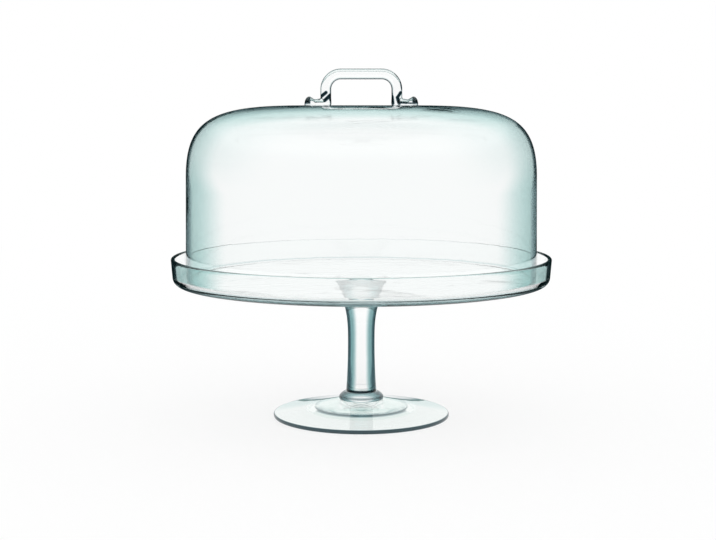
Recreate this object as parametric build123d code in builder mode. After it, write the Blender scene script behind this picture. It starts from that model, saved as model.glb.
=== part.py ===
from build123d import *
from math import asin, degrees
import os

# Footed cake stand with a lift-off dome, all in clear glass.
# Millimetres. The origin is under the middle of the foot, +Z is up and the handle runs along X.

# Foot: a shallow cone with a rounded edge, hollowed underneath by a punt whose ceiling follows the cone.
foot_radius = 73.75
foot_edge = 3.2
foot_edge_round = 1.4
foot_seat_height = 14.5
foot_top_sag = 0.8
punt_radius = 44.0
punt_slope = 5.0
punt_shoulder = 5.5
punt_depth = 9.5
punt_flat_radius = 14.0
punt_mouth_round = 1.5
punt_shoulder_round = 3.0

# Collar: the swelling ring between foot and stem.
collar_radius = 18.6
collar_height = 6.5
collar_belly_height = 1.6
collar_shoulder = 0.5

# Stem: a solid drawn rod, narrowest below its middle, that flares into the plate.
stem_length = 92.0
stem_base_radius = 12.75
stem_waist_radius = 11.1
stem_waist_height = 41.0
stem_top_radius = 23.7

# Plate: a flat floor in an upright rim, which opens a little towards its lip.
well_radius = 152.2
plate_floor = 4.3
plate_corner = 6.5
well_corner = 3.5
rim_wall = 3.5
rim_rise = 17.7
rim_flare = 1.8
lip_round = 1.6

# Dome: a blown shell that stands loose on the plate's floor, inside the rim.
dome_clearance = 6.9
dome_height = 142.2
dome_wall = 3.5
dome_draft = 1.0
dome_lip_round = 1.2
crown_flat_radius = 49.5
shoulder_drop = 59.7
shoulder_reach = 72.8
shoulder_rise = 49.2

# Handle: a bent rod whose two ends are pressed out into toes on the crown.
handle_rod = 8.8
handle_span = 58.4
handle_height = 30.0
handle_bend = 12.5
toe_spread = 93.6
toe_heel = 0.6
toe_width = 12.0
toe_thickness = 6.2
toe_round = 2.6
toe_knob = 11.2
toe_knob_height = 7.5

# Heights and radii that follow from the values above.
collar_top = foot_seat_height + collar_height
plate_bottom = collar_top + stem_length
well_floor = plate_bottom + plate_floor
rim_top = well_floor + rim_rise
rim_base_radius = well_radius + rim_wall
rim_radius = rim_base_radius + rim_flare
dome_radius = well_radius - dome_clearance
shoulder_radius = dome_radius - dome_draft
crown_top = well_floor + dome_height
handle_top = crown_top + handle_height
handle_axis_height = handle_top - handle_rod / 2


def corner(profile, radius, height):
    # The vertex of a profile that lies nearest to a radius and a height.
    return profile.vertices().sort_by_distance((radius, height, 0))[0]


def shoulder_curve(wall_radius, top):
    # One curve from the flat of the crown, through the shoulder, to the upright wall.
    return Bezier(
        (crown_flat_radius, top),
        (crown_flat_radius + shoulder_reach, top),
        (wall_radius, crown_top - shoulder_drop + shoulder_rise),
        (wall_radius, crown_top - shoulder_drop),
    )


# Foot
with BuildPart() as foot:
    with BuildSketch(Plane.XZ) as foot_profile:
        with BuildLine():
            Polyline(
                (0, punt_depth),
                (punt_flat_radius, punt_depth),
                (punt_radius - punt_slope, punt_shoulder),
                (punt_radius, 0),
                (foot_radius, 0),
                (foot_radius, foot_edge),
            )
            SagittaArc((foot_radius, foot_edge), (collar_radius, foot_seat_height), foot_top_sag)
            Polyline((collar_radius, foot_seat_height), (0, foot_seat_height), (0, punt_depth))
        make_face()
        fillet(corner(foot_profile, punt_radius - punt_slope, punt_shoulder), punt_shoulder_round)
        fillet(corner(foot_profile, punt_radius, 0), punt_mouth_round)
        fillet(corner(foot_profile, foot_radius, 0), foot_edge_round)
        fillet(corner(foot_profile, foot_radius, foot_edge), foot_edge_round)
    revolve(axis=Axis.Z)
foot.part.label = "foot"

# Collar, seated on the flat top of the foot
collar_belly = foot_seat_height + collar_belly_height
with BuildPart() as stem_collar:
    with BuildSketch(Plane.XZ):
        with BuildLine():
            Polyline(
                (stem_base_radius + collar_shoulder, collar_top),
                (0, collar_top),
                (0, foot_seat_height),
                (collar_radius - collar_shoulder, foot_seat_height),
            )
            Spline(
                (collar_radius - collar_shoulder, foot_seat_height),
                (collar_radius, collar_belly),
                (stem_base_radius + collar_shoulder, collar_top),
            )
        make_face()
    revolve(axis=Axis.Z)
stem_collar.part.label = "stem_collar"

# Stem: below the waist its radius grows with the square of the distance, above it with the cube
waist = collar_top + stem_waist_height
below = stem_waist_height
above = stem_length - stem_waist_height
with BuildPart() as stem:
    with BuildSketch(Plane.XZ):
        with BuildLine():
            Bezier(
                (stem_base_radius, collar_top),
                (stem_waist_radius + (stem_base_radius - stem_waist_radius) / 3, collar_top + below / 3),
                (stem_waist_radius, waist - below / 3),
                (stem_waist_radius, waist),
            )
            Bezier(
                (stem_waist_radius, waist),
                (stem_waist_radius, waist + above / 3),
                (stem_waist_radius, plate_bottom - above / 3),
                (stem_top_radius, plate_bottom),
            )
            Polyline(
                (stem_top_radius, plate_bottom),
                (0, plate_bottom),
                (0, collar_top),
                (stem_base_radius, collar_top),
            )
        make_face()
    revolve(axis=Axis.Z)
stem.part.label = "stem"

# Plate, carried on the flat top of the stem
with BuildPart() as plate:
    with BuildSketch(Plane.XZ) as plate_profile:
        with BuildLine():
            Polyline(
                (0, plate_bottom),
                (rim_base_radius, plate_bottom),
                (rim_radius, rim_top),
                (rim_radius - rim_wall, rim_top),
                (well_radius, well_floor),
                (0, well_floor),
                close=True,
            )
        make_face()
        fillet(corner(plate_profile, rim_base_radius, plate_bottom), plate_corner)
        fillet(corner(plate_profile, well_radius, well_floor), well_corner)
        fillet(corner(plate_profile, rim_radius, rim_top), lip_round)
        fillet(corner(plate_profile, rim_radius - rim_wall, rim_top), lip_round)
    revolve(axis=Axis.Z)
plate.part.label = "plate"

# Dome, standing on the plate's floor
with BuildPart() as dome:
    with BuildSketch(Plane.XZ) as dome_profile:
        with BuildLine():
            Line((0, crown_top), (crown_flat_radius, crown_top))
            shoulder_curve(shoulder_radius, crown_top)
            Polyline(
                (shoulder_radius, crown_top - shoulder_drop),
                (dome_radius, well_floor),
                (dome_radius - dome_wall, well_floor),
                (shoulder_radius - dome_wall, crown_top - shoulder_drop),
            )
            shoulder_curve(shoulder_radius - dome_wall, crown_top - dome_wall)
            Polyline(
                (crown_flat_radius, crown_top - dome_wall),
                (0, crown_top - dome_wall),
                (0, crown_top),
            )
        make_face()
        fillet(corner(dome_profile, dome_radius, well_floor), dome_lip_round)
        fillet(corner(dome_profile, dome_radius - dome_wall, well_floor), dome_lip_round)
    revolve(axis=Axis.Z)
dome.part.label = "dome"

# Handle: the bent rod stands on the crown, and each leg runs out into a toe with a knob at its tip
leg = handle_span / 2
toe_inner = leg - handle_rod / 2 - toe_heel
toe_outer = toe_spread / 2
toe_length = toe_outer - toe_inner
toe_middle = (toe_outer + toe_inner) / 2
knob_radius = toe_knob / 2
knob_place = toe_outer - toe_width / 2
knob_cut = degrees(asin((toe_knob_height - knob_radius) / knob_radius))
knob_base = (Align.CENTER, Align.CENTER, Align.MIN)
with BuildPart() as handle:
    with BuildSketch(Plane.XY.offset(crown_top)):
        with Locations((-toe_middle, 0), (toe_middle, 0)):
            SlotOverall(toe_length, toe_width)
    extrude(amount=toe_thickness)
    fillet(handle.edges().group_by(Axis.Z)[-1], toe_round)
    with Locations((-knob_place, 0, crown_top), (knob_place, 0, crown_top)):
        Sphere(knob_radius, arc_size1=-knob_cut, align=knob_base)
    with BuildLine(Plane.XZ):
        FilletPolyline(
            (-leg, crown_top),
            (-leg, handle_axis_height),
            (leg, handle_axis_height),
            (leg, crown_top),
            radius=handle_bend,
        )
    with BuildSketch(Plane.XY.offset(crown_top)):
        with Locations((-leg, 0)):
            Circle(handle_rod / 2)
    sweep()
handle.part.label = "handle"

os.makedirs("parts", exist_ok=True)
for piece in (foot, stem_collar, stem, plate, dome, handle):
    export_step(piece.part, f"parts/{piece.part.label}.step")
    size = piece.part.bounding_box().size
    print(piece.part.label, "size", round(size.X, 2), round(size.Y, 2), round(size.Z, 2))
print("overall height", handle_top, "rim diameter", 2 * rim_radius, "dome diameter", 2 * dome_radius)
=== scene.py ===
from math import pi, radians

import bpy
import numpy as np
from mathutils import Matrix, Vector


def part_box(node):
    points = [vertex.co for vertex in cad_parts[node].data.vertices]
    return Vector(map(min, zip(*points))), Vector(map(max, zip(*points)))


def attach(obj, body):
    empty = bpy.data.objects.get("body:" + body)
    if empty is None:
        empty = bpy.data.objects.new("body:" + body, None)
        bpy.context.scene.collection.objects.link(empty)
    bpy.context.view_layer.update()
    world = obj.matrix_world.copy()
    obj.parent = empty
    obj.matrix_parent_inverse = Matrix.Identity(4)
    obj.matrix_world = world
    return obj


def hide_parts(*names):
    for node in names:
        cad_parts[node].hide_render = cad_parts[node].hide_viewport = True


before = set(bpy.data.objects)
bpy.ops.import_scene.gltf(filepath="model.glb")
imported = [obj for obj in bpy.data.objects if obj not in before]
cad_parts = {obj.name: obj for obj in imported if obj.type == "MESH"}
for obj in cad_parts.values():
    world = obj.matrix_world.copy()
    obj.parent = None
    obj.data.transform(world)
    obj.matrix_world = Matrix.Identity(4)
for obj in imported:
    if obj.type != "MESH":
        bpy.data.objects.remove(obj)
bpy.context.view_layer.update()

# Glass cake stand with its loose dome, in metres. Every piece replaces the CAD node of its name.
mm = 0.001
print("frame loaded:", sorted(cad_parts))


# Camera

cameraPlace = {
    "position": (-0.00274, -1.207, 0.26107),
    "pitchDown": 6.52,
    "lens": 73.28,
    "sensor": 36.0,
}


def makeCamera(place):
    data = bpy.data.cameras.new("camera")
    data.lens = place["lens"]
    data.sensor_width = place["sensor"]
    camera = bpy.data.objects.new("camera", data)
    camera.location = place["position"]
    camera.rotation_euler = (radians(90 - place["pitchDown"]), 0, 0)
    bpy.context.scene.collection.objects.link(camera)
    bpy.context.scene.camera = camera


makeCamera(cameraPlace)


# Shader nodes

def feed(tree, value, socket):
    # An input takes a link from another node's output, or a fixed value
    if hasattr(value, "node"):
        tree.links.new(value, socket)
    else:
        socket.default_value = value


def setMaths(tree, operation, *values):
    node = tree.nodes.new("ShaderNodeMath")
    node.operation = operation
    for socket, value in zip(node.inputs, values):
        feed(tree, value, socket)
    return node.outputs[0]


def smoothRange(tree, value, low, high, to=(0.0, 1.0)):
    # A smooth step from one value to the other as the input goes from low to high
    node = tree.nodes.new("ShaderNodeMapRange")
    node.interpolation_type = "SMOOTHSTEP"
    inputs = {"Value": value, "From Min": low, "From Max": high, "To Min": to[0], "To Max": to[1]}
    for name, given in inputs.items():
        feed(tree, given, node.inputs[name])
    return node.outputs["Result"]


def mixColours(tree, share, first, second, blend="MIX"):
    node = tree.nodes.new("ShaderNodeMix")
    node.data_type = "RGBA"
    node.blend_type = blend
    for socket, value in ((node.inputs[0], share), (node.inputs[6], first), (node.inputs[7], second)):
        feed(tree, value, socket)
    return node.outputs[2]


def mixShaders(tree, share, first, second):
    node = tree.nodes.new("ShaderNodeMixShader")
    for socket, value in zip(node.inputs, (share, first, second)):
        feed(tree, value, socket)
    return node.outputs[0]


def plainShader(tree, kind, colour, strength=None):
    # A shader of one colour, and with a strength where that is given
    node = tree.nodes.new(kind)
    feed(tree, colour, node.inputs["Color"])
    if strength is not None:
        feed(tree, strength, node.inputs["Strength"])
    return node.outputs[0]


def emptyTree(owner):
    owner.use_nodes = True
    owner.node_tree.nodes.clear()
    return owner.node_tree


def surfaceMaterial(name, makeShader, *look):
    # A material of bare nodes whose surface shows what makeShader builds in its tree
    material = bpy.data.materials.new(name)
    tree = emptyTree(material)
    out = tree.nodes.new("ShaderNodeOutputMaterial")
    feed(tree, makeShader(tree, *look), out.inputs["Surface"])
    return material


def clearShader(tree):
    return tree.nodes.new("ShaderNodeBsdfTransparent").outputs[0]


def dimmed(tree, colour, way):
    # Light that goes a longer way through the glass is dimmed by a power of its colour
    node = tree.nodes.new("ShaderNodeGamma")
    feed(tree, colour, node.inputs["Color"])
    feed(tree, way, node.inputs["Gamma"])
    return node.outputs["Color"]


def restOf(tree, share):
    return setMaths(tree, "SUBTRACT", 1.0, share)


def filtered(tree, first, second):
    # Light that goes through one tint of glass and then through another
    return mixColours(tree, 1.0, first, second, "MULTIPLY")


def blended(tree, share, first, second):
    # Between two tints of glass: each to the power of its share, multiplied
    return filtered(tree, dimmed(tree, first, restOf(tree, share)), dimmed(tree, second, share))


def mirroredOnly(tree, path):
    # Light that clear glass refracts counts as glossy too, so what is only mirrored is glossy and not
    # transmitted
    glossy, through = path.outputs["Is Glossy Ray"], path.outputs["Is Transmission Ray"]
    return setMaths(tree, "GREATER_THAN", glossy, through)


# Studio

studio = {
    "floorColour": (0.955, 0.96, 0.96, 1),
    "floorReach": 40.0,
    "floorNear": 0.35,          # inside this distance the floor is lit and shaded by the object
    "floorFar": 1.6,            # past this distance it is the plain white of the backdrop
    "floorOwnWhite": 0.80,      # share of plain white in the floor by the object: its shadow stays light
    "floorSides": 128,
    "lightStrength": 1.04,
    "backdrop": (1.0, 1.0, 1.0, 1),
    "mirrored": (0.010, 0.026, 0.028, 1),   # the dark studio round the lit table, as the glass mirrors it
    "mirroredAbove": (0.76, 0.87, 0.85, 1),
    "mirroredStart": 0.08,      # the mirrored studio gets lighter between the heights with these sines
    "mirroredFull": 0.52,
    "mirroredNear": 0.10,       # the mirrored table darkens between these distances
    "mirroredFar": 0.52,
    "canopyHeight": 0.09,       # a white canopy between two radii, which glass mirrors from below
    "canopyInner": 0.03,
    "canopyOuter": 12.0,
    "canopySides": 96,
    "ceiling": (0.05, 0.10, 0.115, 1),
    "ceilingStart": 0.80,       # the backdrop darkens to the ceiling between the heights with these sines
    "ceilingFull": 0.97,
    "bounces": 24,              # light that runs a long way inside thick glass needs many to come out
}


def makeWorld(look):
    # Glass shows the backdrop with its dark ceiling and mirrors the studio, the camera sees plain white,
    # and all other light, also what reaches the floor through the glass, is soft and even
    world = bpy.data.worlds.new("studio")
    bpy.context.scene.world = world
    tree = emptyTree(world)
    path = tree.nodes.new("ShaderNodeLightPath")
    parts = tree.nodes.new("ShaderNodeSeparateXYZ")
    feed(tree, tree.nodes.new("ShaderNodeTexCoord").outputs["Generated"], parts.inputs[0])
    dark = smoothRange(tree, parts.outputs["Z"], look["ceilingStart"], look["ceilingFull"])
    above = smoothRange(tree, parts.outputs["Z"], look["mirroredStart"], look["mirroredFull"])
    seen = mixColours(tree, dark, look["backdrop"], look["ceiling"])
    mirror = blended(tree, above, look["mirrored"], look["mirroredAbove"])
    seen = mixColours(tree, mirroredOnly(tree, path), seen, mirror)
    byGlass = setMaths(tree, "MAXIMUM", path.outputs["Is Glossy Ray"], path.outputs["Is Transmission Ray"])
    direct = setMaths(tree, "LESS_THAN", path.outputs["Diffuse Depth"], 0.5)
    light = plainShader(tree, "ShaderNodeBackground", look["backdrop"], look["lightStrength"])
    plain = plainShader(tree, "ShaderNodeBackground", look["backdrop"])
    shown = plainShader(tree, "ShaderNodeBackground", seen)
    forCamera = mixShaders(tree, path.outputs["Is Camera Ray"], light, plain)
    surroundings = mixShaders(tree, setMaths(tree, "MULTIPLY", byGlass, direct), forCamera, shown)
    feed(tree, surroundings, tree.nodes.new("ShaderNodeOutputWorld").inputs["Surface"])


def stagePiece(name, points, faces, material):
    # A piece of the studio, which is no part of the object
    mesh = bpy.data.meshes.new(name)
    mesh.from_pydata(points.tolist(), [], faces)
    mesh.materials.append(material)
    piece = bpy.data.objects.new(name, mesh)
    bpy.context.scene.collection.objects.link(piece)


def flatCircle(sides, radius, height):
    angles = np.linspace(0, 2 * pi, sides, endpoint=False)
    return np.column_stack((radius * np.cos(angles), radius * np.sin(angles), np.full(sides, height)))


def floorShader(tree, look):
    # Diffuse by the object and as white as the backdrop further out. What glass mirrors of it is white by
    # the object and darkens with the distance
    path = tree.nodes.new("ShaderNodeLightPath")
    distance = tree.nodes.new("ShaderNodeVectorMath")
    distance.operation = "LENGTH"
    feed(tree, tree.nodes.new("ShaderNodeTexCoord").outputs["Object"], distance.inputs[0])
    far = smoothRange(tree, distance.outputs["Value"], look["floorNear"], look["floorFar"])
    away = smoothRange(tree, far, 0.0, 1.0, (look["floorOwnWhite"], 1.0))
    dim = smoothRange(tree, distance.outputs["Value"], look["mirroredNear"], look["mirroredFar"])
    only = mirroredOnly(tree, path)
    colour = blended(tree, setMaths(tree, "MULTIPLY", only, dim), look["backdrop"], look["mirrored"])
    lit = plainShader(tree, "ShaderNodeBsdfDiffuse", look["floorColour"])
    white = plainShader(tree, "ShaderNodeEmission", colour)
    return mixShaders(tree, setMaths(tree, "MAXIMUM", away, only), lit, white)


def makeFloor(look):
    # A wide flat disc
    points = flatCircle(look["floorSides"], look["floorReach"], 0.0)
    material = surfaceMaterial("studioFloor", floorShader, look)
    stagePiece("floor", points, [list(range(look["floorSides"]))], material)


def canopyShader(tree, look):
    # White to what is mirrored from below, and clear to all other light
    path = tree.nodes.new("ShaderNodeLightPath")
    side = tree.nodes.new("ShaderNodeNewGeometry")
    below = setMaths(tree, "MULTIPLY", mirroredOnly(tree, path), restOf(tree, side.outputs["Backfacing"]))
    white = plainShader(tree, "ShaderNodeEmission", look["backdrop"])
    return mixShaders(tree, below, clearShader(tree), white)


def makeCanopy(look):
    # A flat ring
    sides, height = look["canopySides"], look["canopyHeight"]
    points = np.concatenate((flatCircle(sides, look["canopyInner"], height),
                             flatCircle(sides, look["canopyOuter"], height)))
    index = np.arange(sides)
    after = np.roll(index, -1)
    faces = np.column_stack((index, after, after + sides, index + sides)).tolist()
    stagePiece("canopy", points, faces, surfaceMaterial("studioCanopy", canopyShader, look))


def allowGlassDepth(bounces):
    cycles = bpy.context.scene.cycles
    cycles.max_bounces = cycles.transmission_bounces = cycles.glossy_bounces = bounces
    cycles.transparent_max_bounces = bounces


bpy.context.scene.view_settings.view_transform = "Standard"
makeWorld(studio)
makeFloor(studio)
makeCanopy(studio)
allowGlassDepth(studio["bounces"])
print("camera, floor and light ready")


# Glass

def newGroup(name, values, colours, label, kind):
    # An empty node group with its inputs and the label and kind of its one output
    group = bpy.data.node_groups.new(name, "ShaderNodeTree")
    for socket, value in values.items():
        made = group.interface.new_socket(socket, in_out="INPUT", socket_type="NodeSocketFloat")
        made.default_value = value
    for socket in colours:
        group.interface.new_socket(socket, in_out="INPUT", socket_type="NodeSocketColor")
    group.interface.new_socket(label, in_out="OUTPUT", socket_type=kind)
    given = group.nodes.new("NodeGroupInput").outputs
    return group, given, group.nodes.new("NodeGroupOutput").inputs[label]


def makeEdgeTintAndShadeGroup():
    # Colour of light that enters the glass, by how far the point seems to lie inside the outline, in mm: on
    # a surface that bends round a radius the distance is radius * (1 - sqrt(1 - c * c)), where c is the
    # cosine between its normal and the line of sight. The dark outline is painted shade, which stands in
    # for the dark studio that the glass refracts and mirrors near its outline, and the tint inside it is
    # partly the glass's own green and partly painted shade. Light that leaves the glass is only dimmed
    # where painted shade is asked for on its way out
    values = {
        "Facing": 0.0, "Bend": 1000.0,
        "Dark Start": 1.0, "Dark End": 2.0, "Tint Start": 2.0, "Tint End": 8.0,
        "Thin": 0.0, "Soft": 0.0, "Soft End": 100.0, "Soft Near": 0.5, "Soft Far": 0.21,
        "Deep": 0.0, "Gather": 0.0, "Leaving": 0.0, "Exitshading": 0.0,
    }
    colours = ("Clear", "Shaded Tint", "Dark", "Deepest", "Shade Colour")
    group, given, out = newGroup("edgeTintAndShade", values, colours, "Colour", "NodeSocketColor")
    cosine = restOf(group, given["Facing"])
    sine = setMaths(group, "SQRT", restOf(group, setMaths(group, "MULTIPLY", cosine, cosine)))
    inside = setMaths(group, "MULTIPLY", given["Bend"], restOf(group, sine))
    tint = smoothRange(group, inside, given["Tint Start"], given["Tint End"], (1.0, 0.0))
    # Where the painted outline is soft, the tint is weaker and runs far in
    wide = smoothRange(group, inside, given["Tint Start"], given["Soft End"], (1.0, 0.0))
    weaker = restOf(group, setMaths(group, "MULTIPLY", given["Soft"], given["Soft Near"]))
    far = setMaths(group, "MULTIPLY", given["Soft"], given["Soft Far"])
    wider = setMaths(group, "MULTIPLY", wide, far)
    tint = setMaths(group, "ADD", setMaths(group, "MULTIPLY", tint, weaker), wider)
    # Where the painted outline is thin, its dark ends sooner
    darkInside = setMaths(group, "MULTIPLY", inside, setMaths(group, "ADD", given["Thin"], 1.0))
    dark = smoothRange(group, darkInside, given["Dark Start"], given["Dark End"], (1.0, 0.0))
    darkest = blended(group, given["Deep"], given["Dark"], given["Deepest"])
    colour = blended(group, dark, blended(group, tint, given["Clear"], given["Shaded Tint"]), darkest)
    # Painted shade, in the shade colour, darkens light that enters by its shading and light that leaves by
    # its exit shading
    entering = filtered(group, colour, dimmed(group, given["Shade Colour"], given["Gather"]))
    leaving = filtered(group, given["Clear"], dimmed(group, given["Shade Colour"], given["Exitshading"]))
    feed(group, mixColours(group, given["Leaving"], entering, leaving), out)
    return group


def makeBlownSkinGroup():
    # The faint swells and fine draw lines that fire-polished glass keeps: two noises as one bumped normal
    values = {"Swell Scale": 14.0, "Swell": 0.5, "Draw Scale": 90.0, "Draw": 0.1, "Height": 0.0001}
    group, given, out = newGroup("blownSkin", values, (), "Normal", "NodeSocketVector")
    where = group.nodes.new("ShaderNodeTexCoord").outputs["Object"]
    heights = []
    for scale, weight in (("Swell Scale", "Swell"), ("Draw Scale", "Draw")):
        noise = group.nodes.new("ShaderNodeTexNoise")
        noise.inputs["Detail"].default_value = 1.0
        feed(group, where, noise.inputs["Vector"])
        feed(group, given[scale], noise.inputs["Scale"])
        heights.append(setMaths(group, "MULTIPLY", noise.outputs["Fac"], given[weight]))
    bump = group.nodes.new("ShaderNodeBump")
    feed(group, setMaths(group, "ADD", *heights), bump.inputs["Height"])
    feed(group, given["Height"], bump.inputs["Distance"])
    feed(group, bump.outputs["Normal"], out)
    return group


edgeTintAndShade = makeEdgeTintAndShadeGroup()
blownSkin = makeBlownSkinGroup()

# What each point of a piece tells its glass, with the usual value: how sharply the surface bends, in mm,
# how thin the painted dark outline is, how soft the tint is, how deep the painted dark is, and how much
# painted shade darkens the light that enters and the light that leaves
usualShades = {"bend": 1000.0, "thin": 0.0, "soft": 0.0, "deep": 0.0, "gather": 0.0, "exitshading": 0.0}

# Inputs of the two groups, and the keys of a look that feed them
tintSockets = {
    "Tint Start": "tintStart", "Tint End": "tintEnd", "Dark Start": "darkStart", "Dark End": "darkEnd",
    "Clear": "clear", "Shaded Tint": "shadedTint", "Dark": "dark", "Deepest": "deepest", "Shade Colour": "shadeColour",
}
skinSockets = {
    "Swell Scale": "swellScale", "Swell": "swell", "Draw Scale": "drawScale", "Draw": "draw",
    "Height": "skinHeight",
}

# The outline runs from the dark over the tint to the clear glass, between distances inside it in mm. The
# dark and deepest colours are painted shade, and the tint is partly the glass's own green and partly
# painted shade. The shade colour is that of the painted shade which darkens chosen places, and the
# height of the skin is in metres
shellGlass = {
    "ior": 1.5, "roughness": 0.0,
    "clear": (0.99, 1.0, 0.998, 1), "shadedTint": (0.29, 0.54, 0.52, 1), "dark": (0.040, 0.090, 0.100, 1),
    "deepest": (0.0005, 0.0012, 0.0015, 1), "shadeColour": (0.012, 0.045, 0.05, 1),
    "darkStart": 3.4, "darkEnd": 4.7, "tintStart": 5.0, "tintEnd": 22.0,
    "swellScale": 14.0, "swell": 0.5, "drawScale": 60.0, "draw": 0.1, "skinHeight": 0.0006,
}


def groupNode(tree, group, look, sockets):
    # A shared group in a material, with the values of the material's look on its inputs
    node = tree.nodes.new("ShaderNodeGroup")
    node.node_tree = group
    for socket, key in sockets.items():
        node.inputs[socket].default_value = look[key]
    return node


def makeGlass(name, look):
    material = bpy.data.materials.new(name)
    material.use_nodes = True
    tree = material.node_tree
    shader = tree.nodes["Principled BSDF"]
    shader.inputs["Metallic"].default_value = 0.0
    shader.inputs["Transmission Weight"].default_value = 1.0
    shader.inputs["Roughness"].default_value = look["roughness"]
    shader.inputs["IOR"].default_value = look["ior"]
    tint = groupNode(tree, edgeTintAndShade, look, tintSockets)
    # With a blend of one half, Facing is one less the cosine between the normal and the line of sight
    weight = tree.nodes.new("ShaderNodeLayerWeight")
    weight.inputs["Blend"].default_value = 0.5
    feed(tree, weight.outputs["Facing"], tint.inputs["Facing"])
    side = tree.nodes.new("ShaderNodeNewGeometry")
    feed(tree, side.outputs["Backfacing"], tint.inputs["Leaving"])
    for label in usualShades:
        attribute = tree.nodes.new("ShaderNodeAttribute")
        attribute.attribute_name = label
        feed(tree, attribute.outputs["Fac"], tint.inputs[label.title()])
    feed(tree, tint.outputs["Colour"], shader.inputs["Base Color"])
    skin = groupNode(tree, blownSkin, look, skinSockets)
    feed(tree, skin.outputs["Normal"], shader.inputs["Normal"])
    return material


# Two members were fused while hot where they meet, so light goes straight across
fusedJoint = surfaceMaterial("fusedJoint", clearShader)
print("glass ready")


# Surfaces

flatWithin = 0.001 * mm         # heights nearer to each other than this are the same
sharpAngle = radians(35)
noOutline = 1e5                 # a bend so wide that a surface shows no painted dark outline of its own


def ramp(value, start, end):
    # From 0 at the start to 1 at the end, straight between the two
    return np.clip((value - start) / (end - start), 0, 1)


def roundedRun(corners, radii, steps=12, support=0.06 * mm):
    # Straight runs whose corners are arcs tangent to both runs: the arc turns the vector from its centre
    # by equal shares of the corner's turn, and a close point past each end keeps the flats flat
    corners = np.array(corners, float)
    share = np.linspace(0, 1, steps + 1)[:, None]
    run = [corners[:1]]
    for before, here, after, radius in zip(corners[:-2], corners[1:-1], corners[2:], radii):
        back = (before - here) / np.linalg.norm(before - here)
        on = (after - here) / np.linalg.norm(after - here)
        half = np.arccos(np.clip(back @ on, -1, 1)) / 2
        reach = radius / np.tan(half)
        centre = here + (back + on) / np.linalg.norm(back + on) * radius / np.sin(half)
        turn = pi - 2 * half
        first, last = here + back * reach - centre, here + on * reach - centre
        arc = centre + (np.sin((1 - share) * turn) * first + np.sin(share * turn) * last) / np.sin(turn)
        run += [arc[:1] + back * support, arc, arc[-1:] + on * support]
    return np.concatenate(run + [corners[-1:]])


def cubicCurve(first, second, third, last, steps):
    # The cubic curve from the first point to the last, drawn towards the two between them: the four points
    # weighted by (1 - t) ^ 3, 3 t (1 - t) ^ 2, 3 t ^ 2 (1 - t) and t ^ 3
    t = np.linspace(0, 1, steps + 1)[:, None]
    weights = np.concatenate(((1 - t) ** 3, 3 * t * (1 - t) ** 2, 3 * t ** 2 * (1 - t), t ** 3), axis=1)
    return weights @ np.array((first, second, third, last), float)


def filledIn(profile, longest, closest=0.02 * mm):
    # The same outline with points added along its length, no further apart than asked for
    steps = np.linalg.norm(np.diff(profile, axis=0), axis=1)
    profile = profile[np.concatenate(([True], steps > closest))]
    steps = np.linalg.norm(np.diff(profile, axis=0), axis=1)
    along = np.concatenate(([0], np.cumsum(steps)))
    counts = np.maximum(1, np.ceil(steps / longest).astype(int))
    starts = np.repeat(along[:-1], counts)
    order = np.arange(counts.sum()) - np.repeat(np.cumsum(counts) - counts, counts)
    stations = np.append(starts + order * np.repeat(steps / counts, counts), along[-1])
    return np.column_stack([np.interp(stations, along, profile[:, k]) for k in (0, 1)])


def normalsOf(profile):
    # How far the normals of a turned surface point away from the axis, and how far up
    run = np.gradient(profile, axis=0)
    return (run * [-1, 1] / np.maximum(np.linalg.norm(run, axis=1), 1e-9)[:, None]).T[::-1]


def bendOf(profile, limit=usualShades["bend"], leastOutward=0.01, leastUpward=0.5):
    # How sharply a turned surface bends round its axis, in mm: its radius over the part of its normal that
    # points away from the axis, up to a limit. A surface that points to the axis or down has no painted
    # dark outline of its own
    outward, upward = normalsOf(profile)
    bend = np.minimum(profile[:, 0] / mm / np.maximum(outward, 1e-3), limit)
    return np.where((outward < leastOutward) & (upward < leastUpward), noOutline, bend)


def closedGrid(rings, firstPole, lastPole):
    # Points, quads and end triangles of closed rings that follow each other from one pole to the other.
    # The rings are an array of ring, place in the ring and coordinate
    count, around = rings.shape[:2]
    points = np.concatenate(([firstPole], rings.reshape(-1, 3), [lastPole]))
    index = 1 + np.arange(count * around).reshape(count, around)
    nextOne = np.roll(index, -1, axis=1)
    quads = np.stack((index[:-1], nextOne[:-1], nextOne[1:], index[1:]), axis=-1).reshape(-1, 4)
    first = np.column_stack((np.zeros(around, int), nextOne[0], index[0]))
    last = np.column_stack((np.full(around, len(points) - 1), index[-1], nextOne[-1]))
    return points, quads, np.concatenate((first, last))


def meshPiece(name, grid, shades, jointFaces, material, body):
    # One closed mesh from whole arrays, its piece riding on a body in place of the node of the same name
    points, quads, triangles = grid
    mesh = bpy.data.meshes.new(name)
    loops = np.concatenate((quads.ravel(), triangles.ravel())).astype(np.int32)
    sizes = np.concatenate((np.full(len(quads), 4), np.full(len(triangles), 3)))
    mesh.vertices.add(len(points))
    mesh.vertices.foreach_set("co", points.astype(np.float32).ravel())
    mesh.loops.add(len(loops))
    mesh.loops.foreach_set("vertex_index", loops)
    mesh.polygons.add(len(sizes))
    mesh.polygons.foreach_set("loop_start", (np.cumsum(sizes) - sizes).astype(np.int32))
    mesh.materials.append(material)
    mesh.materials.append(fusedJoint)
    mesh.polygons.foreach_set("material_index", jointFaces.astype(np.int32))
    for label, usual in usualShades.items():
        values = np.full(len(points), shades.get(label, usual), np.float32)
        mesh.attributes.new(label, "FLOAT", "POINT").data.foreach_set("value", values)
    mesh.update(calc_edges=True)
    mesh.shade_smooth()
    mesh.set_sharp_from_angle(angle=sharpAngle)
    piece = bpy.data.objects.new(name + "_glass", mesh)
    bpy.context.scene.collection.objects.link(piece)
    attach(piece, body)
    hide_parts(name)
    print(name, "made:", len(sizes), "faces")


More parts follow.
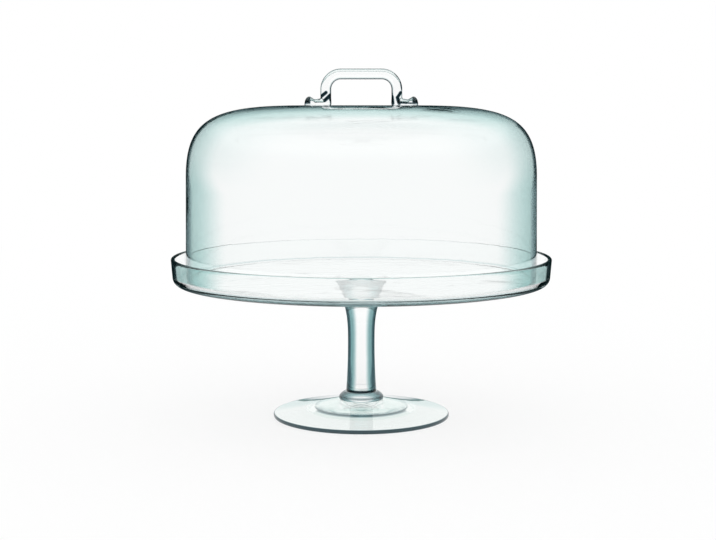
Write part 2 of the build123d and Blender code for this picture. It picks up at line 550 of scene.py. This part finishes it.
def turnedPiece(name, profile, around, shades, material, body, joints=()):
    # The outline goes round the axis: x = r cos a, y = r sin a, z = height. It starts and ends on the
    # axis, where one point closes each pole
    angles = np.linspace(0, 2 * pi, around, endpoint=False)
    radius, height = (np.repeat(profile[1:-1, k, None], around, axis=1) for k in (0, 1))
    rings = np.stack((radius * np.cos(angles), radius * np.sin(angles), height), axis=-1)
    grid = closedGrid(rings, (0, 0, profile[0, 1]), (0, 0, profile[-1, 1]))
    # Faces of a fused joint lie flat at its height, inside its radius
    middle = (profile[1:] + profile[:-1]) / 2
    flat = np.abs(np.diff(profile[:, 1])) < flatWithin
    fused = np.zeros(len(middle), bool)
    for jointRadius, jointHeight in joints:
        fused |= flat & (middle[:, 0] < jointRadius) & (np.abs(middle[:, 1] - jointHeight) < flatWithin)
    jointFaces = np.concatenate((np.repeat(fused[1:-1], around), np.repeat(fused[[0, -1]], around)))
    shades = {label: np.concatenate((values[:1], np.repeat(values[1:-1], around), values[-1:]))
              for label, values in shades.items()}
    meshPiece(name, grid, shades, jointFaces, material, body)


def reachOf(node):
    # How far a node reaches to the side, and its lowest and highest places
    low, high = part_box(node)
    return high.x, low.z, high.z


collarReach, collarBottom, collarTop = reachOf("stem_collar")
stemReach, stemBottom, stemTop = reachOf("stem")
seatRadius = collarReach - 0.5 * mm     # of the ring on which the collar stands, inside its belly
stemBase = 12.75 * mm                   # radius of the stem where it stands on the collar


# Foot

footShape = {
    "edgeHeight": 3.2 * mm, "edgeRound": 1.4 * mm, "topSag": 0.8 * mm, "topSteps": 40,
    "puntRadius": 44.0 * mm, "puntDepth": 9.5 * mm, "puntSlope": 5.0 * mm, "puntShoulder": 5.5 * mm,
    "puntFlat": 14.0 * mm, "puntFlatRound": 110.0 * mm, "puntMouthRound": 1.5 * mm,
    "puntShoulderRound": 3.0 * mm,
    "edgeShade": (1.1 * mm, 0.4 * mm),       # painted shade darkens the foot between these distances from the edge
    # Height of the soft line of painted shade round the punt's slope, and the distances from it between
    # which it fades
    "slopeLine": 4.8 * mm, "slopeLineSides": (1.5 * mm, 0.5 * mm), "slopeLineShade": 0.72,
    "around": 256, "longest": 1.5 * mm,
}


def footProfile(shape):
    # Straight runs and arcs under the foot and round its edge. The upper side sags in a parabola between
    # the edge and the seat: it lies 4 * sag * share * (1 - share) below a straight line
    reach, bottom, top = reachOf("foot")
    edge = bottom + shape["edgeHeight"]
    under = roundedRun(
        [(0, shape["puntDepth"]), (shape["puntFlat"], shape["puntDepth"]),
         (shape["puntRadius"] - shape["puntSlope"], shape["puntShoulder"]),
         (shape["puntRadius"], bottom), (reach, bottom), (reach, edge), (collarReach, top)],
        [shape["puntFlatRound"], shape["puntShoulderRound"], shape["puntMouthRound"], shape["edgeRound"],
         shape["edgeRound"]])
    edgeRadius, edgeTop = under[-2]
    radii = np.linspace(edgeRadius, collarReach, shape["topSteps"])
    share = (edgeRadius - radii) / (edgeRadius - collarReach)
    heights = edgeTop + (top - edgeTop) * share - 4 * shape["topSag"] * share * (1 - share)
    upper = np.column_stack((radii, heights))
    return np.concatenate((under[:-1], upper[1:], [(seatRadius, top), (0, top)]))


def footShades(profile, shape):
    # Painted shade darkens the thin outer edge, and light on its way out in a soft line round the punt's
    # slope
    radius, height = profile.T
    line = ramp(np.abs(height - shape["slopeLine"]), *shape["slopeLineSides"])
    return {"gather": ramp(radius.max() - radius, *shape["edgeShade"]),
            "exitshading": shape["slopeLineShade"] * line * (radius < shape["puntRadius"])}


# Its shade colour, nearly black, is painted shade
footGlass = makeGlass("footGlass", dict(
    shellGlass, clear=(0.83, 0.93, 0.90, 1), shadeColour=(0.0008, 0.004, 0.006, 1)))
footRun = filledIn(footProfile(footShape), footShape["longest"])
turnedPiece("foot", footRun, footShape["around"], footShades(footRun, footShape), footGlass,
            "stand", [(seatRadius, collarBottom)])


# Collar

collarShape = {
    "belly": 1.6 * mm, "shoulder": 0.5 * mm, "seatFlat": 0.1 * mm,
    # How far outwards and up the two curves of the outline are drawn on from their ends
    "seatPull": (0.4 * mm, 0.4 * mm), "bellyPullDown": (0, -0.5 * mm), "bellyPullUp": (0, 1.9 * mm),
    "shoulderPull": (1.9 * mm, -0.2 * mm), "lowSteps": 10, "highSteps": 24,
    # Painted shade darkens the belly round this height over the seat and outside this radius
    "shadeHeight": 2.6 * mm, "shadeSides": (1.2 * mm, 0.4 * mm), "shadeOutside": 13.5 * mm,
    "around": 160, "longest": 0.4 * mm,
}


def collarProfile(shape):
    # Two cubic curves, one from the seat out to the belly and one from the belly in to the shoulder
    seat = np.array((seatRadius, collarBottom))
    belly = np.array((collarReach, collarBottom + shape["belly"]))
    shoulder = np.array((stemBase + shape["shoulder"], collarTop))
    low = cubicCurve(seat, seat + shape["seatPull"], belly + shape["bellyPullDown"], belly,
                     shape["lowSteps"])
    high = cubicCurve(belly, belly + shape["bellyPullUp"], shoulder + shape["shoulderPull"], shoulder,
                      shape["highSteps"])
    return np.concatenate(([(0, collarBottom), seat - (shape["seatFlat"], 0)], low, high[1:],
                           [(stemBase, collarTop), (0, collarTop)]))


def collarShades(profile, shape):
    # Painted shade darkens the belly low down, where it meets the foot
    radius, height = profile.T
    away = np.abs(height - collarBottom - shape["shadeHeight"])
    paintedShade = ramp(away, *shape["shadeSides"]) * (radius > shape["shadeOutside"])
    return {"bend": bendOf(profile), "gather": paintedShade}


# Its dark and shade colours are painted shade, and its dark tint is partly the glass's green and partly
# painted shade
collarGlass = makeGlass("collarGlass", dict(
    shellGlass, shadedTint=(0.03, 0.09, 0.10, 1), dark=(0.003, 0.01, 0.013, 1), shadeColour=(0.09, 0.13, 0.14, 1),
    darkStart=1.2, darkEnd=4.6, tintStart=4.0, tintEnd=11.5))
collarRun = filledIn(collarProfile(collarShape), collarShape["longest"])
turnedPiece("stem_collar", collarRun, collarShape["around"], collarShades(collarRun, collarShape),
            collarGlass, "stand", [(seatRadius, collarBottom), (stemBase, collarTop)])


# Stem

stemShape = {
    "waist": 11.1 * mm, "waistHeight": 41.0 * mm, "steps": 120,
    "baseShade": (2.4 * mm, 1.5 * mm),       # painted shade darkens the stem below these heights over the collar
    # A faint ring of painted shade lies round this height over the collar
    "ringHeight": 7.5 * mm, "ringSides": (0.7 * mm, 0), "ringShade": 0.05,
    # The painted outline changes between these distances below the plate and above the collar
    "flareFrom": (9 * mm, 3 * mm), "flareBend": -0.3, "flareThin": -0.6,
    "lowFrom": (28 * mm, 12 * mm), "lowBend": -0.1, "lowThin": -0.35,
    "bendLimit": 60.0, "around": 160, "longest": 0.8 * mm,
}


def stemProfile(shape):
    # Below the waist the radius grows with the square of the distance, above it with the cube
    waist = stemBottom + shape["waistHeight"]
    heights = np.linspace(stemBottom, stemTop, shape["steps"])
    radii = shape["waist"] + (stemBase - shape["waist"]) * ramp(heights, waist, stemBottom) ** 2
    radii += (stemReach - shape["waist"]) * ramp(heights, waist, stemTop) ** 3
    return np.concatenate(([(0, stemBottom)], np.column_stack((radii, heights)), [(0, stemTop)]))


def stemShades(profile, shape):
    # Painted shade darkens the base and a faint ring over it. The painted dark outline is broader where the
    # stem flares into the plate, and near the collar
    up = profile[:, 1] - stemBottom
    ring = shape["ringShade"] * ramp(np.abs(up - shape["ringHeight"]), *shape["ringSides"])
    flare = ramp(stemTop - profile[:, 1], *shape["flareFrom"])
    low = ramp(up, *shape["lowFrom"])
    bend = bendOf(profile, shape["bendLimit"])
    return {"bend": bend * (1 + shape["flareBend"] * flare + shape["lowBend"] * low),
            "thin": shape["flareThin"] * flare + shape["lowThin"] * low,
            "gather": np.maximum(ramp(up, *shape["baseShade"]), ring)}


# Its dark and shade colours are painted shade, and its dark tint is partly the glass's green and partly
# painted shade
stemGlass = makeGlass("stemGlass", dict(
    shellGlass, shadedTint=(0.045, 0.15, 0.16, 1), dark=(0.002, 0.009, 0.012, 1),
    shadeColour=(0.001, 0.002, 0.003, 1), darkStart=1.2, darkEnd=2.9, tintStart=3.4, tintEnd=7.6))
stemRun = filledIn(stemProfile(stemShape), stemShape["longest"])
turnedPiece("stem", stemRun, stemShape["around"], stemShades(stemRun, stemShape), stemGlass,
            "stand", [(stemBase, stemBottom), (stemReach, stemTop)])


# Plate

plateShape = {
    "reach": 157.5 * mm,        # radius of the wall at its top, before the lip is rounded
    "floor": 4.3 * mm, "wall": 3.5 * mm, "flare": 1.8 * mm,
    "lowerCorner": 6.5 * mm, "wellCorner": 3.5 * mm, "lipRound": 1.6 * mm,
    # The outside of the lip starts this far below the top, and its normals point outwards by more than this
    "lipHeight": 1.92 * mm, "lipOutward": 0.2, "lipBend": 100.0,
    "deepFrom": (6.0 * mm, 10.0 * mm),      # the painted dark deepens between these heights
    # Painted shade darkens between these heights, and between these distances outside the lower corner's
    # start
    "lowShade": (3.2 * mm, 1.6 * mm), "middleShade": (6.0 * mm, 4.0 * mm), "middleShare": 0.3,
    "shadeOutside": (0, 1.5 * mm),
    "around": 448, "longest": 2.0 * mm,
}


def plateProfile(shape):
    # A flat floor in a wall that opens a little: straight runs with arcs in the corners
    _, bottom, top = reachOf("plate")
    reach, floor = shape["reach"], bottom + shape["floor"]
    base = reach - shape["flare"]
    run = roundedRun(
        [(0, bottom), (base, bottom), (reach, top), (reach - shape["wall"], top),
         (base - shape["wall"], floor), (0, floor)],
        [shape["lowerCorner"], shape["lipRound"], shape["lipRound"], shape["wellCorner"]])
    # The flat underside runs up to the arc of the lower corner, without the close point before it
    return np.delete(run, 1, axis=0)


def plateShades(profile, shape):
    # The wall bends as it is turned, and the rounded lip keeps the painted outline's darkness further
    # round.
    # The painted outline is black along the wall, and painted shade darkens where the lower corner turns
    # under the plate
    radius, height = profile.T
    up = height - height.min()
    lip = (normalsOf(profile)[0] > shape["lipOutward"]) & (height > height.max() - shape["lipHeight"])
    bend = np.where(up < shape["lowerCorner"], noOutline, bendOf(profile))
    paintedShade = np.maximum(ramp(up, *shape["lowShade"]), shape["middleShare"] * ramp(up, *shape["middleShade"]))
    outside = radius - radius.max() + shape["flare"] + shape["lowerCorner"]
    return {"bend": np.where(lip, np.minimum(bend, shape["lipBend"]), bend),
            "deep": ramp(up, *shape["deepFrom"]), "gather": paintedShade * ramp(outside, *shape["shadeOutside"])}


plateGlass = makeGlass("plateGlass", dict(shellGlass, darkStart=2.6, darkEnd=3.8, tintEnd=38.0))
plateRun = filledIn(plateProfile(plateShape), plateShape["longest"])
turnedPiece("plate", plateRun, plateShape["around"], plateShades(plateRun, plateShape), plateGlass,
            "stand", [(stemReach, stemTop)])


# Dome

domeShape = {
    "reach": 145.3 * mm,        # radius at the lip, before it is rounded
    "lift": 0.05 * mm,          # the lip stays this far over the plate's floor
    "wall": 3.5 * mm, "draft": 1.0 * mm, "lipRound": 1.2 * mm,
    "crownFlat": 49.5 * mm, "shoulderDrop": 59.7 * mm, "shoulderReach": 72.8 * mm,
    "shoulderRise": 49.2 * mm, "shoulderSteps": 72, "around": 336, "longest": 2.6 * mm,
    # The painted outline changes between these distances below the crown's top
    "deepFrom": (12 * mm, 18 * mm), "deepTo": (67.7 * mm, 53.7 * mm), "deepBend": 0.35, "deepThin": 0.3,
    "crownTo": (14 * mm, 6 * mm), "crownBend": -0.1, "crownThin": 0.1,
    "softFrom": (9 * mm, 15 * mm), "softTo": (62 * mm, 40 * mm),
    "lightAt": 10 * mm, "lightSides": (6.5 * mm, 4 * mm), "lightThin": 1.2,
    "bendLimit": 757.0,
}


def domeProfile(shape):
    # The flat crown runs into the upright wall in one cubic curve, and the wall keeps its thickness: its
    # inner curve lies along the normals of the outer one, which runs down here, so they point inside
    _, bottom, top = reachOf("dome")
    bottom += shape["lift"]
    reach, wall = shape["reach"], shape["wall"]
    upright, drop = reach - shape["draft"], top - shape["shoulderDrop"]
    outer = cubicCurve((shape["crownFlat"], top), (shape["crownFlat"] + shape["shoulderReach"], top),
                       (upright, drop + shape["shoulderRise"]), (upright, drop), shape["shoulderSteps"])
    inner = outer + normalsOf(outer).T * wall
    lip = roundedRun([inner[-1], (reach - wall, bottom), (reach, bottom), outer[-1]],
                     [shape["lipRound"], shape["lipRound"]])
    return np.concatenate(([(0, top - wall)], inner, lip[1:-1], outer[::-1], [(0, top)]))


def domeShades(profile, shape):
    # The painted dark outline is deepest along the shoulder, where its tint is weaker and runs far in. It
    # is thinnest where the crown turns down into the shoulder, and narrower on the crown
    below = profile[:, 1].max() - profile[:, 1]
    deep = ramp(below, *shape["deepFrom"]) * ramp(below, *shape["deepTo"])
    crown = ramp(below, *shape["crownTo"])
    light = ramp(np.abs(below - shape["lightAt"]), *shape["lightSides"])
    bend = bendOf(profile, shape["bendLimit"])
    return {"bend": bend * (1 + shape["deepBend"] * deep + shape["crownBend"] * crown),
            "thin": shape["deepThin"] * deep + shape["crownThin"] * crown + shape["lightThin"] * light,
            "deep": deep, "soft": ramp(below, *shape["softFrom"]) * ramp(below, *shape["softTo"])}


# Its deepest colour is painted shade along the shoulder
domeGlass = makeGlass("domeGlass", dict(
    shellGlass, deepest=(0.002, 0.005, 0.006, 1), darkStart=1.2, darkEnd=6.0, tintEnd=34.0))
domeRun = filledIn(domeProfile(domeShape), domeShape["longest"])
turnedPiece("dome", domeRun, domeShape["around"], domeShades(domeRun, domeShape), domeGlass,
            "lid")


# Handle

handleShape = {
    "rod": 8.8 * mm, "span": 58.4 * mm, "bend": 12.5 * mm,
    "crease": 1.2 * mm, "heel": 0.5 * mm, "heelPower": 7,
    "toeTop": 5.4 * mm, "toeWaist": 4.9 * mm, "waistWidth": 9.6 * mm, "toeWidth": 12.0 * mm,
    "knobTop": 7.3 * mm, "tipRise": 0.1, "closePower": 2.4,
    "press": 1.4 * mm,          # how far the toe would reach below the crown, on which it lies flat
    "lift": 0.05 * mm, "tipLift": 0.2 * mm,     # how far its underside and its tips stay over the crown
    # Shares of the toe's length between which it thins to its waist, swells to its knob, closes to its tip
    # and starts to be darkened with painted shade, which it is between two heights over the crown
    "waistFrom": (0, 0.3), "knobFrom": (0.25, 0.7), "closeFrom": (0.62, 1.0), "shadeFrom": (0.56, 0.64),
    "shadeUp": (1.0 * mm, 2.0 * mm),
    # Cosines between which the side of the rod that faces the finger gap starts, where the painted dark
    # outline is broader and deeper
    "gapFrom": (0.2, 0.6), "gapBend": -0.4,
    "barSteps": 24, "bendSteps": 28, "legSteps": 14, "foldSteps": 30, "toeSteps": 60, "around": 72,
    # Place along the bar and height over the crown of the start and end of each stroke of painted shade,
    # and half its width, in mm. The two sides differ
    "strokeSoft": 0.35 * mm,
    "strokes": [
        ((-34.8, 5.8), (-29.0, 10.4), 1.2), ((-29.8, 4.2), (-25.6, 8.2), 1.3),
        ((-26.0, 6.6), (-24.2, 1.6), 0.9), ((32.2, 10.4), (29.6, 6.4), 1.1),
        ((29.6, 6.4), (31.0, 1.8), 1.3), ((31.0, 2.4), (37.0, 2.0), 0.7),
        ((37.0, 2.0), (44.0, 1.6), 0.4), ((24.0, 14.8), (25.4, 7.0), 0.7),
        ((25.4, 7.0), (26.0, 1.6), 1.0), ((27.6, 26.0), (32.2, 20.6), 0.5),
        ((32.2, 20.6), (33.6, 13.0), 0.8),
    ],
}


def sections(x, z, toGapX, toGapZ, thick, wide, ofKnob=0.0):
    # One row for each section of the handle: the place of its middle, the direction towards the finger
    # gap, half its thickness in that direction, half its width, and how much it belongs to the knob
    return np.stack(np.broadcast_arrays(x, z, toGapX, toGapZ, thick, wide, ofKnob), axis=-1)


def foldSections(shape, foldX, foldZ, crown):
    # The section swings about the crease by an angle a. Its far side follows the heel's rounded corner, at
    # a distance of ((cos a / across) ^ power + (sin a / down) ^ power) ^ (-1 / power)
    swing = np.linspace(0, pi / 2, shape["foldSteps"])
    cosine, sine, power = np.cos(swing), np.sin(swing), shape["heelPower"]
    across = shape["rod"] + shape["crease"] + shape["heel"] * sine
    down = foldZ - crown + shape["press"]
    far = ((cosine / across) ** power + (sine / down) ** power) ** (-1 / power)
    middle = (shape["crease"] + far) / 2
    wide = (shape["rod"] + (shape["waistWidth"] - shape["rod"]) * sine ** 2) / 2
    return sections(foldX - middle * cosine, foldZ - middle * sine, -cosine, -sine,
                    (far - shape["crease"]) / 2, wide)


def toeSections(shape, foldX, tip, crown):
    # A thin waist, then a knob whose end closes like an ellipse
    along = np.sin(np.linspace(0, pi / 2, shape["toeSteps"]))
    knob = ramp(along, *shape["knobFrom"])
    knob = knob * knob * (3 - 2 * knob)
    rise = shape["toeTop"] + (shape["toeWaist"] - shape["toeTop"]) * ramp(along, *shape["waistFrom"])
    rise += (shape["knobTop"] - rise) * knob
    wide = (shape["waistWidth"] + (shape["toeWidth"] - shape["waistWidth"]) * knob) / 2
    close = np.sqrt(np.clip(1 - ramp(along, *shape["closeFrom"]) ** shape["closePower"], 0, 1))
    high = crown + rise * (shape["tipRise"] + (1 - shape["tipRise"]) * close)
    low = crown - shape["press"] * close
    return sections(foldX + (tip - foldX) * along, (high + low) / 2, 0, -1, (high - low) / 2, wide * close,
                    ramp(along, *shape["shadeFrom"]))


def handlePath(shape):
    # Half of the handle, from the middle of its bar over bend, leg and fold to the tip of one toe
    tip, crown, top = reachOf("handle")
    rod, bend = shape["rod"] / 2, shape["bend"]
    leg, axis = shape["span"] / 2, top - rod
    foldX, foldZ = leg + rod + shape["crease"], crown + shape["toeTop"] + shape["crease"]
    turn = np.linspace(pi / 2, 0, shape["bendSteps"])
    bar = sections(np.linspace(0, leg - bend, shape["barSteps"]), axis, 0, -1, rod, rod)
    turned = sections(leg - bend + bend * np.cos(turn), axis - bend + bend * np.sin(turn), -np.cos(turn),
                      -np.sin(turn), rod, rod)
    upright = sections(leg, np.linspace(axis - bend, foldZ, shape["legSteps"]), -1, 0, rod, rod)
    fold = foldSections(shape, foldX, foldZ, crown)
    toe = toeSections(shape, foldX, tip, crown)
    return np.concatenate((bar, turned[1:], upright[1:], fold[1:], toe[1:-1])), toe[-1, :2], crown


def strokeOf(x, up, stroke, soft):
    # A soft mask of the points nearer than half a stroke's width to the line from its start to its end
    start, end, half = (np.array(value) * mm for value in stroke)
    along = end - start
    share = np.clip(((x - start[0]) * along[0] + (up - start[1]) * along[1]) / (along @ along), 0, 1)
    away = np.hypot(x - start[0] - share * along[0], up - start[1] - share * along[1])
    return ramp(away, half + soft, half - soft)


def handleSurface(shape):
    # The section is an ellipse carried along the path: its middle, plus thick * cos a towards the finger
    # gap and wide * sin a along Y. What would reach below the crown lies flat on it
    side, tip, crown = handlePath(shape)
    # The other half is the mirror image of this one: its places and directions are turned round along X
    path = np.concatenate((side[:0:-1] * (-1, 1, -1, 1, 1, 1, 1), side))
    middleX, middleZ, toGapX, toGapZ, thick, wide, ofKnob = path.T[:, :, None]
    angles = np.linspace(0, 2 * pi, shape["around"], endpoint=False)
    floor = crown + shape["lift"]
    x = middleX + toGapX * thick * np.cos(angles)
    z = np.maximum(middleZ + toGapZ * thick * np.cos(angles), floor)
    rings = np.stack((x, wide * np.sin(angles), z), axis=-1)
    # Painted shade darkens the knobs, and short strokes over the fold: along its crease and at its heel
    gather = ofKnob * ramp(z - crown, *shape["shadeUp"])
    for stroke in shape["strokes"]:
        gather = np.maximum(gather, strokeOf(x, z - crown, stroke, shape["strokeSoft"]))
    gap = np.broadcast_to(ramp(np.cos(angles), *shape["gapFrom"]), x.shape)
    return rings, (tip[0], max(tip[1], floor + shape["tipLift"])), gather, gap


def withPoles(values, pole):
    # The values of all rings in a row, between those of the two poles
    return np.concatenate(([pole], values.ravel(), [pole]))


def makeHandle(shape, material):
    rings, (tipX, tipZ), gather, gap = handleSurface(shape)
    grid = closedGrid(rings, (-tipX, 0, tipZ), (tipX, 0, tipZ))
    gap = withPoles(gap, 0)
    shades = {"bend": shape["rod"] / 2 / mm * (1 + shape["gapBend"] * gap), "deep": gap,
              "gather": withPoles(gather, 1)}
    jointFaces = np.zeros(len(grid[1]) + len(grid[2]))
    meshPiece("handle", grid, shades, jointFaces, material, "lid")


# Its dark, deepest and shade colours are painted shade, and its tint is partly the glass's green and partly
# painted shade
handleGlass = makeGlass("handleGlass", dict(
    shellGlass, shadedTint=(0.5, 0.62, 0.62, 1), dark=(0.03, 0.05, 0.052, 1), deepest=(0.004, 0.008, 0.01, 1),
    shadeColour=(0.00005, 0.0003, 0.0005, 1), skinHeight=0.0002, darkStart=0.35, darkEnd=0.7, tintStart=0.7,
    tintEnd=1.2))
makeHandle(handleShape, handleGlass)
